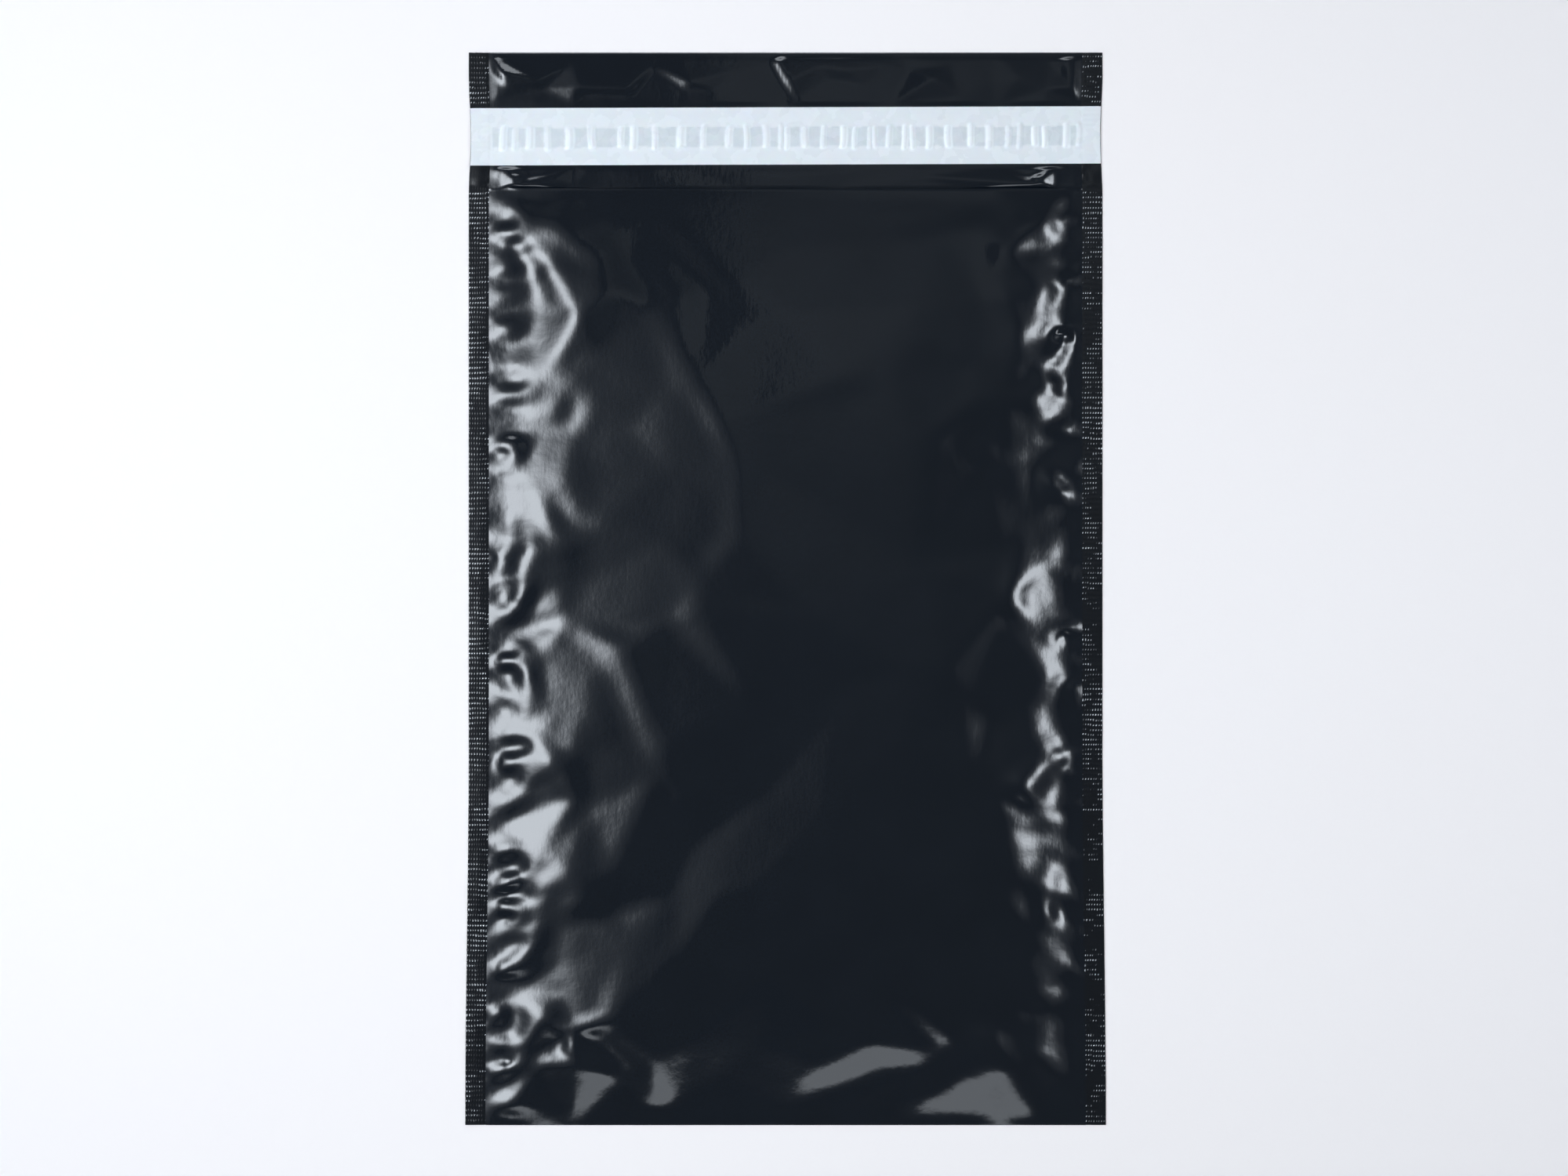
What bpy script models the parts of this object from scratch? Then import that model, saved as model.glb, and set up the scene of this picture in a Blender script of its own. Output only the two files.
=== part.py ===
"""Poly mailer bag: one folded film with crimped side welds, a hemmed flap, an adhesive strip and its release liner.

Metres, +Z up. The bag lies on its back panel with its mouth and flap towards +Y. The origin is the middle of the
footprint, on the surface that the bag lies on. The film runs from the lip of the mouth down the front panel, round the
fold at the bottom, up the back panel and the flap, and round the fold at the top into a short hem behind the flap.
"""

import math

import bmesh
import bpy

MM = 0.001

# Film and outline
FILM = 0.07 * MM  # one ply
WIDTH = 240 * MM
BODY = 354.6 * MM  # bottom fold to lip
FLAP = 51.7 * MM  # lip to top fold
WELD = 7.6 * MM  # width of a side weld
HEM = 20 * MM  # depth of the hem behind the flap
BOTTOM_FLARE = 1.3 * MM  # how much further each side stands out at the bottom corners
WAIST = 0.8 * MM  # how far each side draws in beside the liner

# Pocket between the front and back panels
POCKET = 6.6 * MM  # clear height in the middle
LIP_DROOP = 0.6 * MM  # how much lower the lip is than the middle
SIDE_SHOULDER = 38 * MM  # from a weld to full height
FOLD_SHOULDER = 45 * MM  # from the bottom fold to full height
LIP_SHOULDER = 60 * MM  # from full height to the lip
HEM_SLIT = 0.15 * MM  # gap between the flap and its hem

# Adhesive and liner, which keep a small clearance from each other and from the film
CLEARANCE = 0.3 * MM
LINER_THICKNESS = 0.05 * MM
LINER_DEPTH = 21.7 * MM
LINER_ABOVE_LIP = 9.2 * MM
ADHESIVE_LENGTH = 223 * MM
ADHESIVE_DEPTH = 7.8 * MM
ADHESIVE_THICKNESS = 0.12 * MM
ADHESIVE_ABOVE_LINER_EDGE = 6.6 * MM  # from the liner's lower edge to the adhesive's lower edge

# Grid that carries the curved front panel
POCKET_COLUMNS = 28
BODY_ROWS = 28
FLAP_ROWS = 6
HEM_ROWS = 5
WELD_TOGETHER = 1e-6  # joins the edges that two surfaces share
FLAT = 1e-7

BOTTOM_Y = -(BODY + FLAP) / 2
LIP_Y = BOTTOM_Y + BODY
TOP_Y = LIP_Y + FLAP
HEM_Y = TOP_Y - HEM
POCKET_BOTTOM_Y = BOTTOM_Y + 2 * FILM
SLIT_TOP_Y = TOP_Y - 2 * FILM
LINER_Y = LIP_Y + LINER_ABOVE_LIP


def clamp(value):
    return max(0.0, min(1.0, value))


def smooth(value):
    """0 to 1 with no slope at either end."""
    value = clamp(value)
    return value * value * (3 - 2 * value)


def rise(distance, reach):
    """0 at an edge and 1 from reach onwards, steepest at the edge as a pillow is."""
    return math.sin(math.pi / 2 * clamp(distance / reach))


def half_width(y):
    """The outline's distance from the middle: flared at the bottom, drawn in beside the liner."""
    flare = BOTTOM_FLARE * smooth((-y - BODY / 6) / (BODY / 2.5))
    waist = WAIST * smooth(1 - abs(y - LINER_Y - LINER_DEPTH / 2) / (1.1 * LINER_DEPTH))
    return WIDTH / 2 + flare - waist


def weld_x(y):
    """Where the side weld begins."""
    return half_width(y) - WELD


def pocket_gap(x, y):
    """Clear height between the panels. It is nothing at the welds and at the bottom fold."""
    side = rise(weld_x(y) - abs(x), SIDE_SHOULDER)
    fold = rise(y - POCKET_BOTTOM_Y, FOLD_SHOULDER)
    droop = LIP_DROOP * (1 - smooth((LIP_Y - y) / LIP_SHOULDER))
    return (POCKET - droop) * side * fold


def slit_gap(x, y):
    """Clear height between the flap and its hem."""
    return HEM_SLIT * rise(weld_x(y) - abs(x), WELD) * rise(SLIT_TOP_Y - y, HEM / 4)


def flap_underside(x, y):
    """The back panel lies on the surface, and its flap is lifted by the hem behind it."""
    return smooth((y - HEM_Y + HEM / 3) / (HEM / 3)) * (FILM + slit_gap(x, y))


def eased(count):
    """Steps from 0 to 1 that are finer towards both ends."""
    return [(1 - math.cos(math.pi * i / count)) / 2 for i in range(count + 1)]


def between(low, high, count):
    return [low + (high - low) * step for step in eased(count)]


POCKET_STEPS = [2 * step - 1 for step in eased(POCKET_COLUMNS)]
BODY_YS = between(POCKET_BOTTOM_Y, LIP_Y, BODY_ROWS)
FLAP_YS = between(LIP_Y, HEM_Y, FLAP_ROWS)
HEM_YS = between(HEM_Y, SLIT_TOP_Y, HEM_ROWS)


def pocket_xs(y):
    """Columns from weld to weld."""
    return [step * weld_x(y) for step in POCKET_STEPS]


def all_xs(y):
    """Columns from edge to edge, the welds included."""
    return [-half_width(y), *pocket_xs(y), half_width(y)]


def row(bm, y, xs, height):
    return [bm.verts.new((x, y, height(x, y))) for x in xs(y)]


def skin(bm, rows):
    """Quads between neighbouring rows of vertices."""
    for first, second in zip(rows, rows[1:]):
        for a, b, c, d in zip(first, first[1:], second[1:], second):
            bm.faces.new((a, b, c, d))


def surface(bm, ys, xs, height):
    skin(bm, [row(bm, y, xs, height) for y in ys])


def wall(bm, ys, side, low, high):
    """A strip that closes one side edge between two heights."""

    def edge(height):
        return [bm.verts.new((side * half_width(y), y, height(side * half_width(y), y))) for y in ys]

    skin(bm, [edge(low), edge(high)])


def level(height):
    return lambda x, y: height


def front_outside(x, y):
    return pocket_gap(x, y) + 2 * FILM


def front_inside(x, y):
    return pocket_gap(x, y) + FILM


def flap_face(x, y):
    return flap_underside(x, y) + FILM


def front_panel(bm):
    """Both faces of the front panel and the raw edge of its lip."""
    surface(bm, BODY_YS, all_xs, front_outside)
    surface(bm, BODY_YS, pocket_xs, front_inside)
    skin(bm, [row(bm, LIP_Y, pocket_xs, h) for h in (front_inside, front_outside)])
    for columns in (slice(0, 2), slice(-2, None)):
        step = [row(bm, LIP_Y, all_xs, h)[columns] for h in (level(FILM), level(2 * FILM))]
        skin(bm, step)


def back_panel(bm):
    """The pocket's floor, the flap's face, and the underside as far as the hem."""
    surface(bm, BODY_YS, pocket_xs, level(FILM))
    surface(bm, FLAP_YS + HEM_YS[1:], all_xs, flap_face)
    surface(bm, BODY_YS + FLAP_YS[1:], all_xs, flap_underside)


def hem(bm):
    """The turned-back ply behind the flap: its slit, its raw edge and its underside."""
    surface(bm, HEM_YS, pocket_xs, flap_underside)
    surface(bm, HEM_YS, pocket_xs, level(FILM))
    surface(bm, HEM_YS, all_xs, level(0))
    skin(bm, [row(bm, HEM_Y, all_xs, level(z)) for z in (0, FILM)])


def fold(bm, y, outward):
    """The rounded nose where the film turns at the bottom or the top."""
    nose = [bm.verts.new((x, y + outward * FILM, FILM)) for x in all_xs(y)]
    for height in (2 * FILM, 0):
        skin(bm, [row(bm, y, all_xs, level(height)), nose])


def fold_ends(bm, y, outward):
    """Closes the nose's two ends."""
    for side in (-1, 1):
        x = side * half_width(y)
        tip = bm.verts.new((x, y + outward * FILM, FILM))
        corners = [bm.verts.new((x, y, z)) for z in (0, FILM, 2 * FILM)]
        for low, high in zip(corners, corners[1:]):
            bm.faces.new((low, high, tip))


def side_edges(bm):
    """The cut edges of the side welds: two plies at the body and the hem, one between them."""
    for side in (-1, 1):
        for ys in (BODY_YS, HEM_YS):
            wall(bm, ys, side, level(0), level(FILM))
            wall(bm, ys, side, level(FILM), level(2 * FILM))
        wall(bm, FLAP_YS, side, flap_underside, flap_face)


def merge_flat_faces(bm):
    """The level areas need no grid."""
    edges = set()
    for face in bm.faces:
        heights = [v.co.z for v in face.verts]
        if max(heights) - min(heights) < FLAT:
            edges.update(face.edges)
    verts = {v for edge in edges for v in edge.verts}
    bmesh.ops.dissolve_limit(
        bm,
        angle_limit=math.radians(0.01),
        verts=list(verts),
        edges=list(edges),
        use_dissolve_boundaries=False,
    )


def material(name, colour, roughness):
    made = bpy.data.materials.new(name)
    made.use_nodes = True
    shader = made.node_tree.nodes["Principled BSDF"]
    shader.inputs["Base Color"].default_value = (*colour, 1)
    shader.inputs["Roughness"].default_value = roughness
    shader.inputs["Metallic"].default_value = 0
    return made


def add_object(name, bm, finish):
    mesh = bpy.data.meshes.new(name)
    bmesh.ops.recalc_face_normals(bm, faces=bm.faces)
    bm.to_mesh(mesh)
    bm.free()
    mesh.materials.append(finish)
    made = bpy.data.objects.new(name, mesh)
    bpy.context.scene.collection.objects.link(made)
    return made


def film_pouch():
    bm = bmesh.new()
    front_panel(bm)
    back_panel(bm)
    hem(bm)
    for y, outward in ((POCKET_BOTTOM_Y, -1), (SLIT_TOP_Y, 1)):
        fold(bm, y, outward)
        fold_ends(bm, y, outward)
    side_edges(bm)
    bmesh.ops.remove_doubles(bm, verts=bm.verts, dist=WELD_TOGETHER)
    merge_flat_faces(bm)
    made = add_object("film_pouch", bm, material("black_film", (0.013, 0.016, 0.022), 0.22))
    made.data.shade_smooth()
    made.data.set_sharp_from_angle(angle=math.radians(40))


def slab(bm, outline, low, high):
    """A flat piece of even thickness over an outline."""
    bottom = bm.faces.new([bm.verts.new((x, y, low)) for x, y in outline])
    lifted = bmesh.ops.extrude_face_region(bm, geom=[bottom])["geom"]
    top = [v for v in lifted if isinstance(v, bmesh.types.BMVert)]
    bmesh.ops.translate(bm, verts=top, vec=(0, 0, high - low))


def adhesive_strip():
    """A flat bead of tacky adhesive on the flap's face, rounded along its edges."""
    low = FILM + CLEARANCE
    start = LINER_Y + ADHESIVE_ABOVE_LINER_EDGE
    half = ADHESIVE_LENGTH / 2
    outline = [(-half, start), (half, start), (half, start + ADHESIVE_DEPTH), (-half, start + ADHESIVE_DEPTH)]
    bm = bmesh.new()
    slab(bm, outline, low, low + ADHESIVE_THICKNESS)
    made = add_object("adhesive_strip", bm, material("clear_adhesive", (0.45, 0.53, 0.61), 0.3))
    bevel = made.modifiers.new("rounded_edges", "BEVEL")
    bevel.width = ADHESIVE_THICKNESS / 3
    bevel.segments = 2
    return low + ADHESIVE_THICKNESS


def release_liner(adhesive_top):
    """A siliconed film strip that covers the adhesive, cut with the bag at both side edges."""
    low = adhesive_top + CLEARANCE
    ys = [LINER_Y + LINER_DEPTH * step for step in (0, 0.25, 0.5, 0.75, 1)]
    outline = [(half_width(y), y) for y in ys] + [(-half_width(y), y) for y in reversed(ys)]
    bm = bmesh.new()
    slab(bm, outline, low, low + LINER_THICKNESS)
    add_object("release_liner", bm, material("white_liner", (0.76, 0.82, 0.88), 0.35))


def main():
    for existing in list(bpy.data.objects):
        bpy.data.objects.remove(existing)
    film_pouch()
    release_liner(adhesive_strip())


main()
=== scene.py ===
"""Looks of the poly mailer bag: creased glossy film, crimped welds, and a blistered liner on the flap.

Blender works in metres. Shapes are worked out in millimetres and scaled when a mesh is made.
"""

import math

import bpy
import numpy as np
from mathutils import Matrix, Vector
from mathutils.geometry import delaunay_2d_cdt


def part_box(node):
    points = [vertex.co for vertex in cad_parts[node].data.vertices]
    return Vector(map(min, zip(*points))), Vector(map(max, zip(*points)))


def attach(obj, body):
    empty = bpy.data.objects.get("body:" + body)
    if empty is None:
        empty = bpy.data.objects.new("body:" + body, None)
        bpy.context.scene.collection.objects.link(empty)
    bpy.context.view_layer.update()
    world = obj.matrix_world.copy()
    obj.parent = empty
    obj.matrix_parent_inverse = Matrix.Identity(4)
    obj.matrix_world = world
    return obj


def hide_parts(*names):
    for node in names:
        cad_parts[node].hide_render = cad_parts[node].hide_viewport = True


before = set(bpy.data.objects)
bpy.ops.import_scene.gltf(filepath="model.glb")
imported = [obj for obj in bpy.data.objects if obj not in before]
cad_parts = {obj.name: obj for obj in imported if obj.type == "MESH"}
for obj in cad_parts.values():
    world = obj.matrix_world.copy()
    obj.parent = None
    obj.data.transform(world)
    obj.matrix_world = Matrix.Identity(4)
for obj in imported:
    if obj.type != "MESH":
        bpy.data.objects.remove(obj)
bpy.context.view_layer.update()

MM = 0.001


def box_mm(node):
    """A CAD node's lowest and highest corners in millimetres."""
    return [[value / MM for value in corner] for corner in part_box(node)]


# ---------------------------------------------------------------- sizes, in millimetres

# the CAD model's own boxes
POUCH_LOW, POUCH_HIGH = box_mm("film_pouch")
LINER_LOW, LINER_HIGH = box_mm("release_liner")
ADHESIVE_LOW, ADHESIVE_HIGH = box_mm("adhesive_strip")
BOTTOM_Y = POUCH_LOW[1]
TOP_Y = POUCH_HIGH[1]
LINER_MIDDLE_Y = (LINER_LOW[1] + LINER_HIGH[1]) / 2
LINER_DEPTH = LINER_HIGH[1] - LINER_LOW[1]

# the same driving sizes as the CAD model has
WIDTH = 240.0
BODY = 354.6  # from the bottom fold to the mouth
WELD = 7.6
HEM = 20.0
BOTTOM_FLARE = 1.3
WAIST = 0.8
FILM = 0.07
LIP_Y = BOTTOM_Y + BODY
HEM_Y = TOP_Y - HEM


def smooth(value):
    """0 to 1 with no slope at either end."""
    value = np.clip(value, 0, 1)
    return value * value * (3 - 2 * value)


def bump(value):
    """A rounded hill: 1 at 0 and nothing beyond 1 and -1."""
    return smooth(1 - np.abs(value))


def half_width(y):
    """The outline's distance from the middle: flared at the bottom, drawn in beside the liner."""
    flare = BOTTOM_FLARE * smooth((-y - BODY / 6) / (BODY / 2.5))
    waist = WAIST * smooth(1 - np.abs(y - LINER_MIDDLE_Y) / (1.1 * LINER_DEPTH))
    return WIDTH / 2 + flare - waist


def weld_x(y):
    return half_width(y) - WELD


NOISE_CELLS = 64  # the noise repeats after this many cells


def value_noise(x, y, cell, seed):
    """Smooth noise from -1 to 1, with one value for each cell."""
    rng = np.random.default_rng(seed)
    table = rng.uniform(-1, 1, (NOISE_CELLS, NOISE_CELLS))
    gx = x / cell
    gy = y / cell
    ix = np.floor(gx).astype(int)
    iy = np.floor(gy).astype(int)
    fx = smooth(gx - ix)
    fy = smooth(gy - iy)

    def corner(i, j):
        return table[(iy + j) % NOISE_CELLS, (ix + i) % NOISE_CELLS]

    low = corner(0, 0) * (1 - fx) + corner(1, 0) * fx
    high = corner(0, 1) * (1 - fx) + corner(1, 1) * fx
    return low * (1 - fy) + high * fy


# ---------------------------------------------------------------- creases of the front panel

# Corners of the film's facets: x, y and height. Between them the film is nearly flat.
LEFT_CREASES = [
    # a dip, then a ribbon that rises to a peak
    (-112.4, 151, 0.1), (-105.5, 129, 0.9), (-96.7, 119, 1.0), (-94, 106, 1.3), (-98, 94, 1.3),
    (-103, 84, 1.0), (-107.5, 148.5, 1.0), (-100, 141, 2.2), (-92, 127, 3.4), (-78.4, 102.8, 6.0),
    (-89, 84, 3.7), (-95, 74, 2.9), (-104, 60, 0.8), (-84, 136, 4.2), (-70, 110, 6.2), (-72, 88, 4.9),
    (-86, 68, 3.2), (-98, 60, 1.2), (-112.4, 61.2, 0.1),
    # second peak
    (-100, 47, 1.6), (-104, 36, 1.0), (-99, 30, 2.2), (-104, 10, 1.9), (-98, 53, 1.5),
    (-83.2, 41.3, 4.4), (-87.3, 15, 4.8), (-96.2, 13.7, 4.3), (-100, 0, 3.0), (-70, 44, 4.5),
    (-74, 20, 4.9), (-86, 2, 3.7), (-92, -13, 1.6), (-101, -17, 0.6), (-60, 60, 4.5), (-80, 58, 3.4),
    (-112.4, -15.4, 0.1),
    # a wide shallow facet, and a small steep one below it
    (-100.1, -27.9, 3.0), (-83.8, -11.6, 3.2), (-61.5, -23.5, 6.2), (-75, -48, 5.0), (-92, -45, 3.3),
    (-105, -40, 1.5), (-104, -56, 1.7), (-89.1, -65, 5.4), (-76, -62, 5.2), (-80, -80, 4.2),
    (-98, -84, 1.5), (-112.4, -87, 0.1),
    # fourth peak
    (-81.7, -108.1, 5.8), (-98, -100, 2.9), (-96, -133, 3.0), (-66, -108, 5.8), (-72, -125, 4.6),
    (-88, -142, 2.5), (-100, -152, 1.0), (-112.4, -155, 0.1),
    # last small ones before the corner
    (-91.8, -162.2, 3.8), (-82, -160, 3.4), (-86, -172, 2.4), (-101.6, -176.4, 2.0),
    (-112.4, -184, 0.1),
]
BOTTOM_CREASES = [
    # the fold
    (-112.9, -203.2, 0.1), (-80, -203.2, 0.1), (-40, -203.2, 0.1), (0, -203.2, 0.1), (40, -203.2, 0.1),
    (80, -203.2, 0.1), (112.9, -203.2, 0.1), (-62, -200, 0.4), (-25, -198, 0.5), (22, -199, 0.4),
    (72, -200, 0.3), (95, -200, 0.3),
    # a facet in the left corner
    (-108, -200, 0.3), (-77.8, -177.9, 4.7), (-95, -180, 2.4), (-70.4, -194.3, 0.8), (-82, -169, 4.4),
    # a crescent beside it
    (-74, -172, 2.8), (-60, -184, 1.6), (-51, -197, 0.5), (-67, -163, 5.6), (-50, -176, 5.0),
    (-42, -194, 0.9), (-27, -185, 1.6), (-36, -172, 3.6), (-12, -172, 3.2), (-10, -190, 1.2),
    # a long arc right of the middle
    (3, -190, 1.3), (14, -180, 3.2), (31, -172, 4.5), (64.8, -170.5, 4.4), (2.4, -196, 0.5),
    (20, -188, 1.3), (37, -181, 2.1), (60, -177, 2.7), (44, -191, 1.1),
    # a facet in the right corner
    (44, -199, 0.4), (82.6, -179.4, 4.5), (110.8, -199.5, 0.3), (96, -176, 2.8), (78, -170, 4.6),
    (62, -187, 2.6),
]
MIDDLE_CREASES = [
    # the lip lies low, and the film rises away from it
    (-104, 151.6, 0.8), (-80, 151.6, 1.1), (0, 151.6, 1.3), (80, 151.6, 1.1), (104, 151.6, 0.7),
    (-60, 134, 3.0), (0, 134, 3.2), (60, 134, 3.0), (-50, 106, 5.6), (0, 104, 5.9), (50, 106, 5.6),
    # soft folds
    (-46, 76, 5.8), (-34, 79, 6.9), (-30, 40, 6.4), (-16, 43, 7.3), (-30, 14, 6.4), (-17, 20, 7.3),
    (-45, -12, 5.7), (-34, -9, 6.9), (-58, -56, 5.3), (-47, -59, 6.4), (-65, -122, 4.4),
    (-35, -97, 5.2), (-8, -76, 5.8), (-75, -166, 4.8), (-42, -140, 6.5), (-10, -112, 7.3),
    (15, -88, 7.5), (20, 80, 7.2), (45, 55, 6.9), (10, -10, 7.6), (50, 8, 6.6), (25, -35, 6.9),
    (60, -30, 6.9), (45, -75, 7.0), (30, -130, 6.9), (-5, -146, 6.3), (60, -120, 6.4), (40, -150, 6.2),
]
RIGHT_CREASES = [
    (112.4, 151, 0.1), (92, 138, 3.7), (104.9, 141, 1.6), (98, 128, 1.7), (112.4, 121.2, 0.1),
    (84, 128, 4.3), (106, 116, 1.3), (95.9, 112.7, 3.6), (104.9, 96.8, 2.1), (88, 92, 4.5),
    (98, 84, 3.0), (93.9, 72.2, 4.0), (109.9, 73, 0.8), (86, 72, 4.5), (104, 60, 1.7),
    (112.4, 50.8, 0.1), (98, 49, 1.0), (84, 48, 2.9), (103.4, 35.9, 2.0), (110, 44, 0.6),
    (104, 24, 0.8), (112.4, 22, 0.1), (95, 26, 1.9), (86.4, 1.8, 5.2), (99, 10, 2.0),
    (103.4, -17.5, 1.6), (112.4, -14, 0.1), (92, -14, 3.4), (104, -26, 0.9), (98.9, -33.9, 2.5),
    (108, -36, 0.9), (100, -46, 0.9), (86, -46, 2.9), (112.4, -47.2, 0.1), (89.4, -74.9, 5.3),
    (104, -64, 1.7), (101, -88, 1.7), (80, -78, 5.2), (112.4, -84, 0.1), (97.4, -115.5, 3.4),
    (88, -108, 4.3), (104, -102, 1.2), (103, -131, 1.5), (112.4, -130, 0.1), (92, -140, 3.4),
    (103, -148, 1.5), (98, -160, 1.6), (86, -156, 3.4), (112.4, -156, 0.1), (84, -168, 3.3),
    (101, -176, 1.5), (112.4, -182, 0.1),
]
MAIN_CREASES = LEFT_CREASES + BOTTOM_CREASES + MIDDLE_CREASES + RIGHT_CREASES
EDGE_HEIGHT = 0.1  # the film's height where it meets a weld or the fold
SMALL_CREASES = [
    # count, nearest and furthest from a weld, how far the film moves up or down
    (60, 11, 22, 0.55),
    (70, 22, 46, 0.45),
    (40, 46, 112, 0.35),
]
SMOOTH_BOTTOM = 36  # no small creases this near the bottom fold
PLEAT_STEP = (8.0, 17.0)  # shortest and longest distance from one pleat of the welds to the next
PLEAT_SLOPES = {-1: 0.21, 1: 0.10}  # how steeply a pleat rises from each weld, the left being -1
VALLEY_SLOPE = 0.05  # how steeply the valleys between the pleats rise
PINCH_REACH = 5  # no pleat this near a pinch
PINCHES = {
    # places along each weld where the film is drawn in and no pleat stands
    -1: (61.2, 30.0, -15.4, -87.0, -155.0),
    1: (146.0, 121.0, 96.0, 50.0, 24.0, -14.0, -47.0, -88.0, -130.0),
}


def pleats(rng):
    """Small ridges in a row along each weld and square to it, with a valley after each."""
    made = []
    for side in (-1, 1):
        y = BOTTOM_Y + 9
        while y < LIP_Y - 6:
            step = rng.uniform(*PLEAT_STEP)
            reach = rng.uniform(5.0, 10.0)
            slope = PLEAT_SLOPES[side] * rng.uniform(0.7, 1.3)
            lean = rng.uniform(-2.0, 2.0)
            if min(abs(y - pinch) for pinch in PINCHES[side]) > PINCH_REACH:
                for out in (0.4 * reach, reach):
                    x = side * (weld_x(y) - out)
                    made.append((x, y + lean * out / reach, EDGE_HEIGHT + slope * out))
            y += step * rng.uniform(0.4, 0.6)
            reach = rng.uniform(5.0, 9.0)
            for out in (0.4 * reach, reach):
                made.append((side * (weld_x(y) - out), y, EDGE_HEIGHT + VALLEY_SLOPE * out))
            y += step * 0.5
    return made


def facets(creases):
    """The three corners of each flat facet between the crease corners."""
    corners = [Vector((cx, cy)) for cx, cy, cz in creases]
    points, _, triangles, origins, _, _ = delaunay_2d_cdt(corners, [], [], 0, 1e-4)
    made = [(point[0], point[1], creases[origin[0]][2]) for point, origin in zip(points, origins)]
    return [[made[i] for i in triangle] for triangle in triangles]


TINY = 1e-6


def facet_heights(x, y, triangles):
    """The height of the facet under each point, or the edges' height outside them all."""
    made = np.full(x.shape, EDGE_HEIGHT)
    for (ax, ay, az), (bx, by, bz), (cx, cy, cz) in triangles:
        area = (by - cy) * (ax - cx) + (cx - bx) * (ay - cy)
        if abs(area) < TINY:
            continue
        a = ((by - cy) * (x - cx) + (cx - bx) * (y - cy)) / area
        b = ((cy - ay) * (x - cx) + (ax - cx) * (y - cy)) / area
        c = 1 - a - b
        inside = (a >= -TINY) & (b >= -TINY) & (c >= -TINY)
        made[inside] = (a * az + b * bz + c * cz)[inside]
    return made


def all_facets():
    """The main facets, broken up by small creases at seeded places."""
    rng = np.random.default_rng(12)
    main = facets(MAIN_CREASES)
    small = pleats(rng)
    for count, nearest, furthest, reach in SMALL_CREASES:
        y = rng.uniform(BOTTOM_Y + SMOOTH_BOTTOM, LIP_Y - 3, count)
        side = rng.choice([-1, 1], count)
        x = side * (weld_x(y) - rng.uniform(nearest, furthest, count))
        z = facet_heights(x, y, main) + rng.uniform(-reach, reach, count)
        small += list(zip(x.tolist(), y.tolist(), z.tolist()))
    return facets(MAIN_CREASES + small)


# ---------------------------------------------------------------- a thin film that can bend but not stretch

WELD_SHRINK = 0.020  # how much shorter a heated weld is than the film beside it
SHRINK_REACH = 11.0  # the film's excess length fades over this distance from the weld
JITTER = 0.04  # seeded unevenness beside the welds, from which their wrinkles start
JITTER_REACH = 12.0
EDGE_PULL = 0.24  # share of an edge's error that each of its ends makes good in one step
DIAGONAL_PULL = 0.10
KEPT_SPEED = 0.92  # share of its speed that a point keeps from one step to the next
TOP_SPEED = 0.3  # furthest that it may carry on in a step
FILM_GRIDS = [
    # column step, row step, iterations, bending
    (1.6, 1.6, 24, 0.003),
    (1.6, 0.8, 14, 0.009),
    (0.8, 0.8, 12, 0.012),
]


def resample(field, v, u):
    """field at fractions v down its rows and u along its columns, by cubic interpolation."""

    def along(field, t):
        count = field.shape[0]
        place = t * (count - 1)
        index = np.clip(np.floor(place).astype(int), 0, count - 2)
        f = (place - index).reshape((-1,) + (1,) * (field.ndim - 1))
        p0 = field[np.maximum(index - 1, 0)]
        p1 = field[index]
        p2 = field[index + 1]
        p3 = field[np.minimum(index + 2, count - 1)]
        curve = 2 * p1 + (p2 - p0) * f
        curve = curve + (2 * p0 - 5 * p1 + 4 * p2 - p3) * f**2
        curve = curve + (3 * p1 - p0 - 3 * p2 + p3) * f**3
        return curve / 2

    return np.swapaxes(along(np.swapaxes(along(field, v), 0, 1), u), 0, 1)


def second_difference(field):
    """How far each point is from the middle of its neighbours, in both directions."""
    made = np.zeros_like(field)
    made[:, 1:-1] += field[:, 2:] + field[:, :-2] - 2 * field[:, 1:-1]
    made[1:-1] += field[2:] + field[:-2] - 2 * field[1:-1]
    return made


def settle(points, across, along, free, iterations, bending):
    """Moves the free points until the edges are near their own lengths, as film doesn't stretch."""
    diagonal = np.hypot((across[:-1] + across[1:]) / 2, (along[:, :-1] + along[:, 1:]) / 2)
    whole = slice(None)
    first = slice(None, -1)
    second = slice(1, None)
    families = [
        ((whole, first), (whole, second), across, EDGE_PULL),
        ((first, whole), (second, whole), along, EDGE_PULL),
        ((first, first), (second, second), diagonal, DIAGONAL_PULL),
        ((first, second), (second, first), diagonal, DIAGONAL_PULL),
    ]
    speed = np.zeros_like(points)
    for _ in range(iterations):
        moved = points + KEPT_SPEED * speed * free
        for _ in range(2):
            shift = np.zeros_like(moved)
            for start, end, rest, strength in families:
                edge = moved[end] - moved[start]
                length = np.sqrt((edge * edge).sum(-1))
                pull = (strength * (length - rest) / length)[..., None] * edge
                shift[start] += pull
                shift[end] -= pull
            moved += shift * free
        bend = second_difference(second_difference(moved[..., 2]))
        moved[..., 2] -= bending * bend * free[..., 0]
        moved[..., 2] = np.maximum(moved[..., 2], EDGE_HEIGHT)
        speed = np.clip(moved - points, -TOP_SPEED, TOP_SPEED)
        points = moved
    return points


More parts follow.
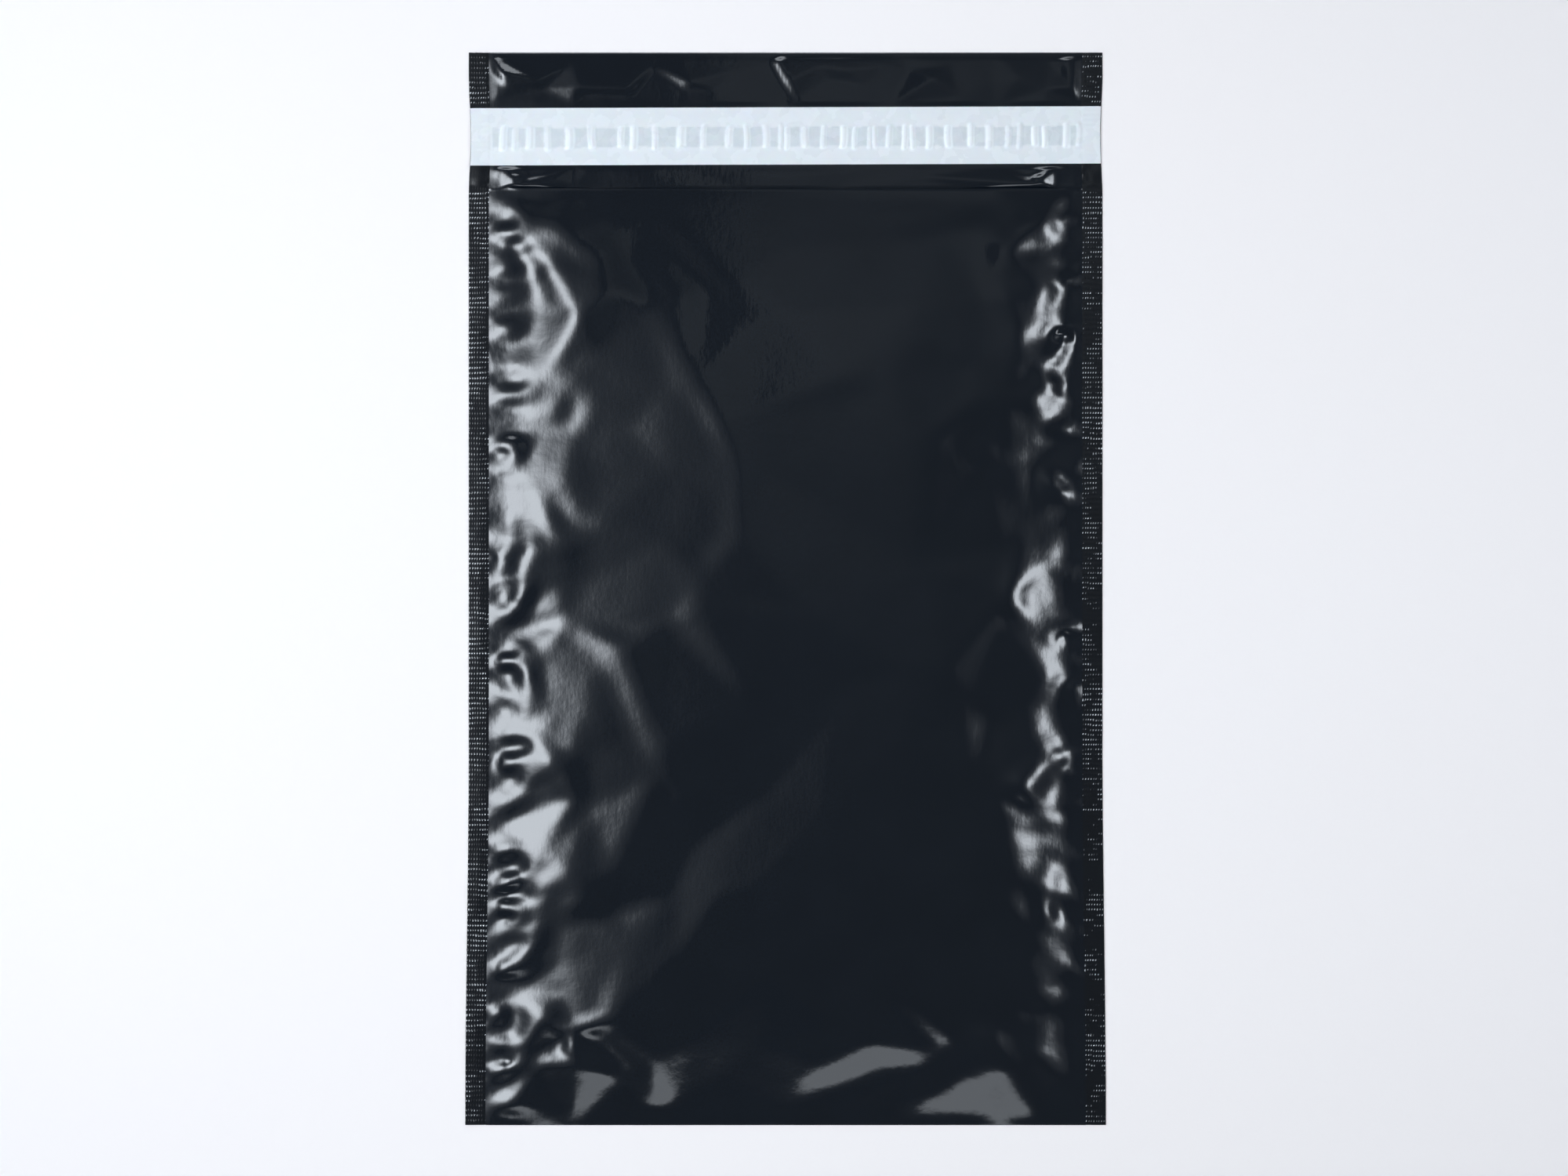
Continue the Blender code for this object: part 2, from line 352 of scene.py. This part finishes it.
def settled_front():
    """The front panel's surface on an even grid, rows from the bottom fold to the lip."""
    rng = np.random.default_rng(4)
    triangles = all_facets()
    points = None
    for column_step, row_step, iterations, bending in FILM_GRIDS:
        rows = round(BODY / row_step) + 1
        columns = round((WIDTH - 2 * WELD) / column_step) + 1
        v = np.linspace(0, 1, rows)
        u = np.linspace(0, 1, columns)
        y = (BOTTOM_Y + BODY * v)[:, None] + 0 * u
        x = (2 * u - 1) * weld_x(y)
        if points is None:
            points = np.stack([x, y, facet_heights(x, y, triangles)], -1)
        else:
            points = resample(points, v, u)
        from_weld = weld_x(y) - np.abs(x)
        points[..., 2] += rng.normal(0, JITTER, x.shape) * np.exp(-from_weld / JITTER_REACH)
        free = np.ones((rows, columns, 1))
        free[:, [0, -1]] = 0
        free[0] = 0
        flat = np.stack([x, y, np.full(x.shape, EDGE_HEIGHT)], -1)
        points = np.where(free == 0, flat, points)
        # each edge's own length is its length on the facets, and longer along the welds
        rise = facet_heights(x, y, triangles)
        middle = (from_weld[1:] + from_weld[:-1]) / 2
        uneven = 0.6 + 0.6 * value_noise(x, y, 14, 3)[1:]
        excess = WELD_SHRINK * uneven * np.exp(-middle / SHRINK_REACH)
        along = np.hypot(np.diff(y, axis=0), np.diff(rise, axis=0)) * (1 + excess)
        across = np.hypot(np.diff(x, axis=1), np.diff(rise, axis=1))
        points = settle(points, across, along, free, iterations, bending)
    return points


# ---------------------------------------------------------------- meshes


def grid_object(name, points, thickness):
    """A closed sheet from rows of points in millimetres, or its upper face alone where thickness is 0."""
    rows, columns = points.shape[:2]
    count = rows * columns
    sharp = math.radians(75)
    normals = np.cross(np.gradient(points, axis=1), np.gradient(points, axis=0))
    normals /= np.linalg.norm(normals, axis=-1, keepdims=True)
    corners = np.concatenate([points.reshape(-1, 3), (points - thickness * normals).reshape(-1, 3)])
    index = np.arange(count).reshape(rows, columns)
    upper = np.stack([index[:-1, :-1], index[:-1, 1:], index[1:, 1:], index[1:, :-1]], -1).reshape(-1, 4)
    lower = upper[:, ::-1] + count
    edge = np.concatenate([index[0, :-1], index[:-1, -1], index[-1, :0:-1], index[:0:-1, 0]])
    after = np.roll(edge, -1)
    rim = np.stack([after, edge, edge + count, after + count], -1)
    quads = np.concatenate([upper, lower, rim]) if thickness else upper
    corners = corners if thickness else corners[:count]
    mesh = bpy.data.meshes.new(name)
    mesh.vertices.add(len(corners))
    mesh.vertices.foreach_set("co", (corners * MM).astype(np.float32).ravel())
    mesh.loops.add(quads.size)
    mesh.loops.foreach_set("vertex_index", quads.astype(np.int32).ravel())
    mesh.polygons.add(len(quads))
    mesh.polygons.foreach_set("loop_start", np.arange(0, quads.size, 4, dtype=np.int32))
    mesh.update(calc_edges=True)
    mesh.validate()
    mesh.shade_smooth()
    mesh.set_sharp_from_angle(angle=sharp)
    made = bpy.data.objects.new(name, mesh)
    bpy.context.scene.collection.objects.link(made)
    return made


def paint(piece, name, values):
    """Keeps a value for each point of a closed sheet's two faces, for its material to read."""
    attribute = piece.data.attributes.new(name, "FLOAT", "POINT")
    attribute.data.foreach_set("value", np.tile(values.ravel(), 2).astype(np.float32))


def graded(fine_share, fine_count, coarse_count):
    """Fractions from 0 to 1, with fine steps over fine_share at each end."""
    start = np.linspace(0, fine_share, fine_count, endpoint=False)
    middle = np.linspace(fine_share, 1 - fine_share, coarse_count, endpoint=False)
    end = np.linspace(1 - fine_share, 1, fine_count + 1)
    return np.concatenate([start, middle, end])


LIP_CURL = 0.2
CREASED_SIDE = 34.0  # width of the strip beside each weld that has fine columns


def front_panel():
    """The front panel: one face, from under the bottom fold to the lip."""
    points = settled_front()
    v = np.linspace(0, 1, 598)
    u = graded(CREASED_SIDE / (WIDTH - 2 * WELD), fine_count=48, coarse_count=68)
    points = resample(points, v, u)
    # the lip curls up a little, and two more rows turn under the bottom fold
    points[-1, 1:-1, 2] += LIP_CURL
    nose = points[:1] + [0, -FILM, -0.2 * FILM]
    under = points[:1] + [0, 0, -0.6 * FILM]
    points = np.concatenate([under, nose, points])
    return grid_object("front_panel", points, 0)


FLAT = 0.12  # the flap's height where it lies flat
POCKET_FLAT = 0.05  # lower still inside the mouth, under the front panel
FLAP_LINES = [
    # level lines across the flap: y and height, at the top edge and beside the liner's two edges
    (203.1, EDGE_HEIGHT),
    (183.5, FLAT),
    (160, FLAT),
]
FLAP_CREASES = [(x, y, height) for y, height in FLAP_LINES for x in (-113, -80, -40, 0, 40, 80, 113)]
FLAP_CREASES += [
    # inside the mouth
    (-113, 144, FLAT), (0, 144, FLAT), (113, 144, FLAT),
    # a small steep facet at the left weld, and a long low fold beside it
    (-107.4, 195, 1.9), (-106.2, 189.6, 0.7), (-111, 197, 0.4), (-93, 192.3, 1.1), (-78, 189.9, 1.3),
    (-58.7, 189.4, 1.2), (-37, 191.7, 1.2), (-92, 189.2, 0.15), (-78, 187, 0.12), (-58.7, 186.4, 0.12),
    (-38, 188.8, 0.15), (-27, 188.6, 0.5), (-82, 198, 0.5), (-50, 197.5, 0.4), (-20, 196, 0.4),
    # a sharp slanting crease in the middle
    (-5.0, 199.5, 0.3), (-2.2, 199.8, 1.2), (1.6, 192.5, 1.2), (-1.2, 191.6, 0.3), (5.4, 186, 0.5),
    (3.4, 185.4, 0.2),
    # soft dents right of it
    (12.8, 198, 0.7), (17, 193, 0.3), (23.2, 196.5, 0.8), (30, 191, 0.3), (38, 198, 0.5),
    (47, 196.5, 0.3), (56, 193, 1.1), (66, 186.5, 0.5), (62, 198, 0.4), (79, 191.5, 0.4),
    (88, 193.5, 1.0), (98, 189, 0.6), (104, 196, 0.4), (108, 190, 1.2), (107, 200, 0.9),
    (100, 200, 0.3),
    # wrinkles between the mouth and the liner
    (-111.5, 157, 0.3), (-108.5, 152.8, 0.15), (-107, 158.8, 0.8), (-102.6, 155.2, 1.6),
    (-102.3, 152.6, 1.3), (-97.5, 156.5, 0.3), (-90, 158, 0.3), (-86.5, 156, 0.9), (-81, 153, 0.4),
    (-76, 157.5, 0.5), (-50, 156, 0.3), (0, 156, 0.35), (50, 156, 0.3), (91, 156, 0.4),
    (96.5, 155.2, 2.05), (96.2, 152.6, 1.6), (102.3, 152.6, 0.15), (101.2, 159, 0.9), (106, 156, 0.4),
    (110, 154, 0.3),
]
FLAP_START_Y = LIP_Y - 14  # the flap's own rows begin this far down inside the mouth


def flap_height(x, y):
    """The flap's shallow facets, rounded a little, and flat under the liner and inside the mouth."""
    triangles = facets(FLAP_CREASES)
    shifts = ((-0.7, -0.5), (0.7, -0.5), (-0.7, 0.5), (0.7, 0.5))
    made = sum(facet_heights(x + right, y + up, triangles) for right, up in shifts) / len(shifts)
    made = made + 0.10 * value_noise(x, y, 24, 11) + 0.04 * value_noise(x, y, 9, 12)
    inner = smooth((weld_x(y) - np.abs(x)) / 2.5)
    top = smooth((TOP_Y - y) / 3)
    outside = smooth((y - FLAP_START_Y) / 10)
    made = np.minimum(made, POCKET_FLAT + 2.0 * smooth((y - LIP_Y) / 2.5))
    under_liner = smooth((0.5 * LINER_DEPTH + 2.0 - np.abs(y - LINER_MIDDLE_Y)) / 1.5)
    made = made * (1 - under_liner) + FLAT * under_liner
    return np.maximum(made * top, POCKET_FLAT) * inner * outside


INTO_WELD = 0.2  # how far the back panel runs into each weld


def back_panel():
    """The back panel and the flap, whose hem is turned under it."""
    columns = 180
    across = np.linspace(-1, 1, columns)
    body = np.linspace(BOTTOM_Y, FLAP_START_Y, 60, endpoint=False)
    flap = np.linspace(FLAP_START_Y, TOP_Y, 86)
    y = np.concatenate([body, flap])[:, None] + np.zeros(columns)
    x = across * (weld_x(y) + INTO_WELD)
    z = FILM + flap_height(x, y)
    top = np.stack([x, y, z], -1)
    # the hem: the sheet turns over at the top and runs back beneath
    nose = top[-1:] + [0, 0.6 * FILM, -0.5 * FILM]
    y = np.linspace(TOP_Y, HEM_Y, 14)[:, None] + np.zeros(columns)
    x = across * (weld_x(y) + INTO_WELD)
    hem = np.stack([x, y, np.full(x.shape, 0.5 * FILM)], -1)
    return grid_object("back_panel", np.concatenate([top, nose, hem]), 0.5 * FILM)


CRIMP_PITCH = 1.9  # between rows, along the weld
DASH_PITCH = 0.98  # between dashes, across the weld
CRIMP_HEIGHT = 0.18
SINGLE_PLY_CRIMP = 0.06  # the jaws leave hardly a mark where there is one ply
WHITENING_AND_GLINT_FROM = 0.62  # share of the crimp's height above which a dash is whitened, which is also a painted highlight for its glint


def crimp_height(side, across, y):
    """Rows of short upstanding dashes that the sealing jaws left, of uneven height."""
    row_shift = 0.35 * value_noise(across, y, 17, 31 + side)
    wobble = 0.3 * value_noise(across, y, 5.5, 33 + side)
    row = (y + row_shift + wobble) / CRIMP_PITCH
    ridge = np.maximum(np.cos(2 * math.pi * row), 0) ** 1.5
    dash_phase = across / DASH_PITCH + 0.25 * value_noise(across, y, 3.1, 35 + side)
    dash = 0.15 + 0.85 * np.maximum(np.sin(2 * math.pi * dash_phase), 0)
    wear = 0.78 + 0.28 * value_noise(across, y, 11, 37 + side)
    wear = wear + 0.3 * value_noise(across, y, 2.2, 39 + side)
    plies = smooth((LIP_Y - y) / 1.5 + 0.5) + smooth((y - HEM_Y) / 1.5 + 0.5)
    depth = SINGLE_PLY_CRIMP + (1 - SINGLE_PLY_CRIMP) * plies
    return CRIMP_HEIGHT * ridge * dash * np.clip(wear, 0.15, 1.2) * depth


def weld_band(name, side):
    """A side weld: both plies fused, from the bottom fold to the top."""
    rows = 1120
    columns = 38
    y = np.linspace(BOTTOM_Y, TOP_Y, rows)[:, None] + np.zeros(columns)
    across = np.linspace(0, 1, columns) * WELD + 0 * y
    x = side * (weld_x(y) + across)
    wave = (0.25 + 0.25 * value_noise(across, y, 13, 41 + side)) * smooth(across / 4)
    single = smooth((y - LIP_Y) / 2) * smooth((HEM_Y - y) / 2)
    base = EDGE_HEIGHT + 0.03 + wave * 0.4 + 0.25 * single * value_noise(across, y, 4, 45 + side)
    inner = smooth(across / 0.8)
    outer = smooth((WELD - across) / 0.4)
    crimp = crimp_height(side, across, y)
    z = EDGE_HEIGHT * (1 - inner) + (base + crimp * outer) * inner
    order = slice(None) if side > 0 else slice(None, None, -1)
    made = grid_object(name, np.stack([x, y, z], -1)[:, order], FILM)
    # the jaws' bite whitens the film on top of the tallest dashes, and this whitening is also a painted
    # highlight that stands in for the dashes' glints
    whitening_and_glint = smooth((crimp / CRIMP_HEIGHT - WHITENING_AND_GLINT_FROM) / 0.25)[:, order]
    paint(made, "whitening_and_glint", whitening_and_glint)
    return made


# Blisters where the liner stands off the adhesive: place along the liner, and width
BLISTERS = [
    (-106.7, 2.6), (-102.5, 2.2), (-96.5, 3.0), (-89.6, 2.4), (-81.8, 3.2), (-72.8, 2.6), (-62.1, 2.4),
    (-57.6, 2.8), (-49.4, 2.2), (-39.4, 3.2), (-30.9, 2.2), (-21.3, 2.8), (-14.6, 2.2), (-7.3, 2.6),
    (-1.7, 1.8), (0.6, 2.0), (8.0, 2.8), (14.4, 2.2), (21.7, 2.6), (26.4, 2.0), (31.8, 1.8), (34.2, 2.0),
    (39.2, 2.4), (45.1, 2.2), (48.4, 2.0), (54.4, 2.6), (62.1, 2.8), (70.2, 2.4), (77.2, 2.8),
    (84.0, 2.2), (88.5, 2.0), (94.8, 2.6), (98.2, 2.0), (106.2, 2.6), (110.7, 2.0),
]
LINER_TILT = 0.0032  # the liner was laid slightly askew
BLISTER_HEIGHT = 0.6
LINER_HEIGHT = 0.52


def blisters(x, y):
    """The liner's rise, how far it touches the adhesive, and how near a blister's rim it is, where a
    highlight is painted.
    """
    rng = np.random.default_rng(7)
    low = ADHESIVE_LOW[1]
    high = ADHESIVE_HIGH[1]
    height = np.zeros(x.shape)
    free = np.zeros(x.shape)
    rim = np.zeros(x.shape)
    for place, width in BLISTERS:
        top = high + rng.uniform(0.2, 1.6)
        bottom = low - rng.uniform(0.2, 1.6)
        lean = rng.uniform(-0.06, 0.06)
        bow = rng.uniform(-0.5, 0.5)
        q = (y - (top + bottom) / 2) / ((top - bottom) / 2)
        p = (x - place - lean * (y - low) - bow * (1 - q * q)) / (0.62 * width)
        round_end = np.clip(1.15 - np.abs(q) ** 4, 0, 1)
        hill = bump(p / 1.25) * smooth(round_end)
        height = np.maximum(height, BLISTER_HEIGHT * (0.7 + 0.5 * rng.random()) * hill)
        free = np.maximum(free, smooth(1.6 * hill))
        # rim: where a blister's rim takes its painted highlight
        rim = np.maximum(rim, smooth(1 - np.abs(2.2 * hill - 0.9)) * rng.uniform(0.5, 1.0))
    edge = 0.35 * value_noise(x, y, 2.3, 51)
    band = smooth((y - low + edge) / 0.5) * smooth((high - y + edge) / 0.5)
    band = band * smooth((ADHESIVE_HIGH[0] - np.abs(x)) / 0.8)
    return height, band * (1 - free), rim


def release_liner():
    """The liner, whose ends take a little of the crimp from the welds below them."""
    rows = 44
    columns = 900
    v = np.linspace(0, 1, rows)[:, None] + np.zeros(columns)
    u = np.linspace(-1, 1, columns) + 0 * v
    y = LINER_LOW[1] + LINER_DEPTH * v
    x = u * (half_width(y) - 0.15)
    height, contact, rim = blisters(x, y)
    ripple = 0.10 * value_noise(x, y, 7, 52) + 0.04 * value_noise(x, y, 2.4, 53)
    z = LINER_HEIGHT + height + ripple * (1 - 0.7 * contact) + 0.10 * bump((y - LINER_MIDDLE_Y) / 8)
    over_weld = smooth((np.abs(x) - weld_x(y)) / 1.2)
    crimp = 0.07 * np.maximum(np.cos(2 * math.pi * y / CRIMP_PITCH), 0) * over_weld
    z = z + crimp + 0.1 * over_weld
    y = y + LINER_TILT * x
    made = grid_object("release_liner_sheet", np.stack([x, y, z], -1), 0.05)
    paint(made, "contact", contact)
    # painted highlight along the blisters' rims
    paint(made, "rim_highlight", rim)
    return made


BEAD_HEIGHT = 0.32


def adhesive():
    """A flat bead with uneven edges."""
    rows = 12
    columns = 460
    v = np.linspace(0, 1, rows)[:, None] + np.zeros(columns)
    u = np.linspace(0, 1, columns) + 0 * v
    x = ADHESIVE_LOW[0] + (ADHESIVE_HIGH[0] - ADHESIVE_LOW[0]) * u
    y = ADHESIVE_LOW[1] + (ADHESIVE_HIGH[1] - ADHESIVE_LOW[1]) * v
    y = y + 0.25 * value_noise(x, y, 3, 61) * (2 * v - 1)
    edge = np.minimum(np.minimum(v, 1 - v) * 8, np.minimum(u, 1 - u) * 60)
    z = BEAD_HEIGHT + 0.08 * smooth(edge) + 0.02 * value_noise(x, y, 1.6, 62)
    y = y + LINER_TILT * x
    return grid_object("adhesive_bead", np.stack([x, y, z], -1), 0.06)


# ---------------------------------------------------------------- materials


class Nodes:
    """Short calls for building one material's node tree."""

    def __init__(self, name):
        self.material = bpy.data.materials.new(name)
        self.material.use_nodes = True
        self.tree = self.material.node_tree
        self.shader = self.tree.nodes["Principled BSDF"]

    def add(self, kind, **values):
        node = self.tree.nodes.new(kind)
        for key, value in values.items():
            setattr(node, key, value)
        return node

    def link(self, out, into):
        self.tree.links.new(out, into)

    def place(self, scale):
        """Object coordinates, stretched by scale."""
        coordinates = self.add("ShaderNodeTexCoord")
        mapping = self.add("ShaderNodeMapping")
        mapping.inputs["Scale"].default_value = scale
        self.link(coordinates.outputs["Object"], mapping.inputs["Vector"])
        return mapping.outputs["Vector"]

    def noise(self, scale, stretch=(1, 1, 1), detail=3.0, roughness=0.5):
        node = self.add("ShaderNodeTexNoise")
        node.inputs["Scale"].default_value = scale
        node.inputs["Detail"].default_value = detail
        node.inputs["Roughness"].default_value = roughness
        self.link(self.place(stretch), node.inputs["Vector"])
        return node.outputs["Fac"]

    def math(self, operation, *values):
        """Each value is a number or another node's output."""
        node = self.add("ShaderNodeMath", operation=operation)
        for place, value in enumerate(values):
            if isinstance(value, (int, float)):
                node.inputs[place].default_value = value
            else:
                self.link(value, node.inputs[place])
        return node.outputs["Value"]

    def attribute(self, name):
        return self.add("ShaderNodeAttribute", attribute_name=name).outputs["Fac"]

    def remap(self, value, low, high, to_low, to_high, kind="LINEAR"):
        node = self.add("ShaderNodeMapRange", interpolation_type=kind)
        node.inputs["From Min"].default_value = low
        node.inputs["From Max"].default_value = high
        node.inputs["To Min"].default_value = to_low
        node.inputs["To Max"].default_value = to_high
        self.link(value, node.inputs["Value"])
        return node.outputs["Result"]

    def mix(self, factor, first, second):
        """first is a colour or another node's output, and second is a colour."""
        node = self.add("ShaderNodeMix", data_type="RGBA")
        if isinstance(first, tuple):
            node.inputs["A"].default_value = (*first, 1)
        else:
            self.link(first, node.inputs["A"])
        node.inputs["B"].default_value = (*second, 1)
        self.link(factor, node.inputs["Factor"])
        return node.outputs["Result"]

    def bump(self, height, distance, strength=1.0, normal=None):
        node = self.add("ShaderNodeBump")
        node.inputs["Distance"].default_value = distance
        node.inputs["Strength"].default_value = strength
        self.link(height, node.inputs["Height"])
        if normal:
            self.link(normal, node.inputs["Normal"])
        return node.outputs["Normal"]


POLYETHYLENE_IOR = 1.52
FILM_COLOURS = ((0.0030, 0.0054, 0.0092), (0.0055, 0.0084, 0.0132))
FILM_ROUGHNESS = (0.025, 0.06)
CRIMPED_COLOURS = ((0.003, 0.004, 0.006), (0.005, 0.007, 0.010))
CRIMPED_ROUGHNESS = (0.07, 0.13)
# whitened film and painted highlight: the colour of the tallest crimp dashes
WHITENING_AND_GLINT_COLOUR = (0.85, 0.89, 0.93)


def film_material(name, colours, roughness):
    """Black polyethylene: a gloss that varies, fine drawn fibres, a faint orange peel, and whitened crimp
    tops that are also a painted highlight.
    """
    n = Nodes(name)
    plain = n.mix(n.noise(60, detail=4), *colours)
    # the tallest crimp dashes are whitened, which also paints a highlight for their glints
    n.link(n.mix(n.attribute("whitening_and_glint"), plain, WHITENING_AND_GLINT_COLOUR), n.shader.inputs["Base Color"])
    n.link(n.remap(n.noise(45, detail=5), 0.3, 0.7, *roughness), n.shader.inputs["Roughness"])
    n.shader.inputs["IOR"].default_value = POLYETHYLENE_IOR
    fibres = n.bump(n.noise(900, (1, 0.25, 1), 4), 0.000016)
    peel = n.bump(n.noise(420, detail=2), 0.000024, normal=fibres)
    ripple = n.bump(n.noise(110, detail=2), 0.000048, normal=peel)
    n.link(ripple, n.shader.inputs["Normal"])
    return n.material


LINER_WHITE = (0.88, 0.85, 0.86)
LINER_ON_ADHESIVE = (0.72, 0.715, 0.735)
# painted highlight: the colour laid along the blisters' rims
LINER_RIM_HIGHLIGHT = (0.99, 0.98, 0.99)


def liner_material():
    """White film that looks darker where it touches the adhesive, with a painted highlight on the blisters'
    rims.
    """
    n = Nodes("white_liner_film")
    clouds = n.remap(n.noise(350, detail=3), 0.3, 0.7, 0.7, 1.1)
    resting = n.mix(n.math("MULTIPLY", n.attribute("contact"), clouds), LINER_WHITE, LINER_ON_ADHESIVE)
    # painted highlight along the blisters' rims, over the liner's own colour
    n.link(n.mix(n.attribute("rim_highlight"), resting, LINER_RIM_HIGHLIGHT), n.shader.inputs["Base Color"])
    n.link(n.remap(n.noise(120, detail=3), 0.3, 0.7, 0.20, 0.34), n.shader.inputs["Roughness"])
    n.shader.inputs["Subsurface Weight"].default_value = 0.15
    n.shader.inputs["Subsurface Scale"].default_value = 0.0006
    fine = n.bump(n.noise(1400, detail=2), 0.00001)
    n.link(n.bump(n.noise(260, detail=2), 0.00004, normal=fine), n.shader.inputs["Normal"])
    return n.material


def adhesive_material():
    n = Nodes("tacky_adhesive")
    n.link(n.mix(n.noise(400), (0.40, 0.47, 0.54), (0.52, 0.58, 0.64)), n.shader.inputs["Base Color"])
    n.link(n.remap(n.noise(200), 0.3, 0.7, 0.18, 0.35), n.shader.inputs["Roughness"])
    n.link(n.bump(n.noise(900), 0.00005), n.shader.inputs["Normal"])
    return n.material


def floor_material():
    n = Nodes("white_table")
    n.link(n.mix(n.noise(8), (0.99, 0.94, 0.925), (0.995, 0.95, 0.94)), n.shader.inputs["Base Color"])
    n.shader.inputs["Roughness"].default_value = 0.9
    n.shader.inputs["Specular IOR Level"].default_value = 0.1
    return n.material


# ---------------------------------------------------------------- table, lights and camera


def square(name, reach):
    """A flat square from -reach to reach, each way."""
    mesh = bpy.data.meshes.new(name)
    corners = [(-reach, -reach, 0), (reach, -reach, 0), (reach, reach, 0), (-reach, reach, 0)]
    mesh.from_pydata(corners, [], [(0, 1, 2, 3)])
    made = bpy.data.objects.new(name, mesh)
    bpy.context.scene.collection.objects.link(made)
    return made


def table():
    made = square("table", 3.0)
    made.location.z = -0.0002
    made.data.materials.append(floor_material())


ROOM_LIGHT = 0.15
GLOW_FALL = 5.0  # how fast a softbox dims away from its middle
SKIRT = 0.04  # how bright its wide dim skirt is beside its middle


def glow_material(name, strength, colour, core):
    """Brightest in the middle, with a wide dim skirt, and as bright as the room at its edge."""
    n = Nodes(name)
    ball = n.add("ShaderNodeTexGradient", gradient_type="SPHERICAL")
    n.link(n.add("ShaderNodeTexCoord").outputs["Object"], ball.inputs["Vector"])
    fall = n.remap(ball.outputs["Fac"], 0, 1 - core, 0, 1, kind="SMOOTHSTEP")
    skirt = n.math("MULTIPLY_ADD", n.math("SQRT", fall), SKIRT * strength, ROOM_LIGHT)
    peak = n.math("MULTIPLY_ADD", n.math("POWER", fall, GLOW_FALL), strength, skirt)
    glow = n.add("ShaderNodeEmission")
    glow.inputs["Color"].default_value = (*colour, 1)
    n.link(peak, glow.inputs["Strength"])
    n.link(glow.outputs["Emission"], n.tree.nodes["Material Output"].inputs["Surface"])
    n.tree.nodes.remove(n.shader)
    return n.material


SOFTBOX_COLOUR = (0.87, 0.93, 1.0)
CEILING_COLOUR = (0.88, 0.95, 1.0)
ROOM_COLOUR = (0.82, 0.91, 1.0)


def softbox(name, centre, size, strength, colour=SOFTBOX_COLOUR, core=0.3):
    """A glowing panel that faces the bag. size is its level side, then its tilted side, in metres."""
    made = square(name, 1)
    made.location = centre
    made.scale = (size[0] / 2, size[1] / 2, 1)
    made.rotation_euler = (-Vector(centre)).to_track_quat("Z", "Y").to_euler()
    made.data.materials.append(glow_material(name, strength, colour, core))


def lights():
    softbox("left_softbox", (-0.52, 0.03, 0.85), (1.5, 1.05), 13.5, core=0.1)
    softbox("right_softbox", (0.64, 0.0, 0.82), (1.1, 0.7), 12.0, core=0.1)
    softbox("front_softbox", (0.05, -0.72, 0.80), (1.2, 0.55), 2.5)
    softbox("back_softbox", (-0.1, 0.84, 0.75), (1.2, 0.5), 4.5)
    softbox("ceiling_glow", (0.0, 0.5, 2.2), (3.0, 3.0), 0.22, CEILING_COLOUR, core=0.0)
    world = bpy.data.worlds.new("studio")
    world.use_nodes = True
    background = world.node_tree.nodes["Background"]
    background.inputs["Color"].default_value = (*ROOM_COLOUR, 1)
    background.inputs["Strength"].default_value = ROOM_LIGHT
    bpy.context.scene.world = world


def camera():
    """Looks straight down, as the bag lies on its back."""
    data = bpy.data.cameras.new("camera")
    made = bpy.data.objects.new("camera", data)
    bpy.context.scene.collection.objects.link(made)
    view_width = 0.594
    data.lens = 85
    data.sensor_width = 36
    made.location = (-0.0006, 0.0003, view_width * data.lens / data.sensor_width)
    data.clip_start = 0.01
    data.clip_end = 20
    bpy.context.scene.camera = made


# ---------------------------------------------------------------- putting it together


def finish_piece(piece, material, slot, *nodes):
    piece.data.materials.append(material)
    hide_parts(*nodes)
    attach(piece, "root")


def main():
    film = film_material("black_film_gloss", FILM_COLOURS, FILM_ROUGHNESS)
    crimped = film_material("black_film_crimped", CRIMPED_COLOURS, CRIMPED_ROUGHNESS)
    finish_piece(front_panel(), film, "black_film", "film_pouch")
    finish_piece(back_panel(), film, "black_film", "film_pouch")
    finish_piece(weld_band("left_weld", -1), crimped, "black_film", "film_pouch")
    finish_piece(weld_band("right_weld", 1), crimped, "black_film", "film_pouch")
    finish_piece(adhesive(), adhesive_material(), "clear_adhesive", "adhesive_strip")
    finish_piece(release_liner(), liner_material(), "white_liner", "release_liner")
    table()
    lights()
    camera()
    bpy.context.scene.view_settings.view_transform = "Standard"


main()
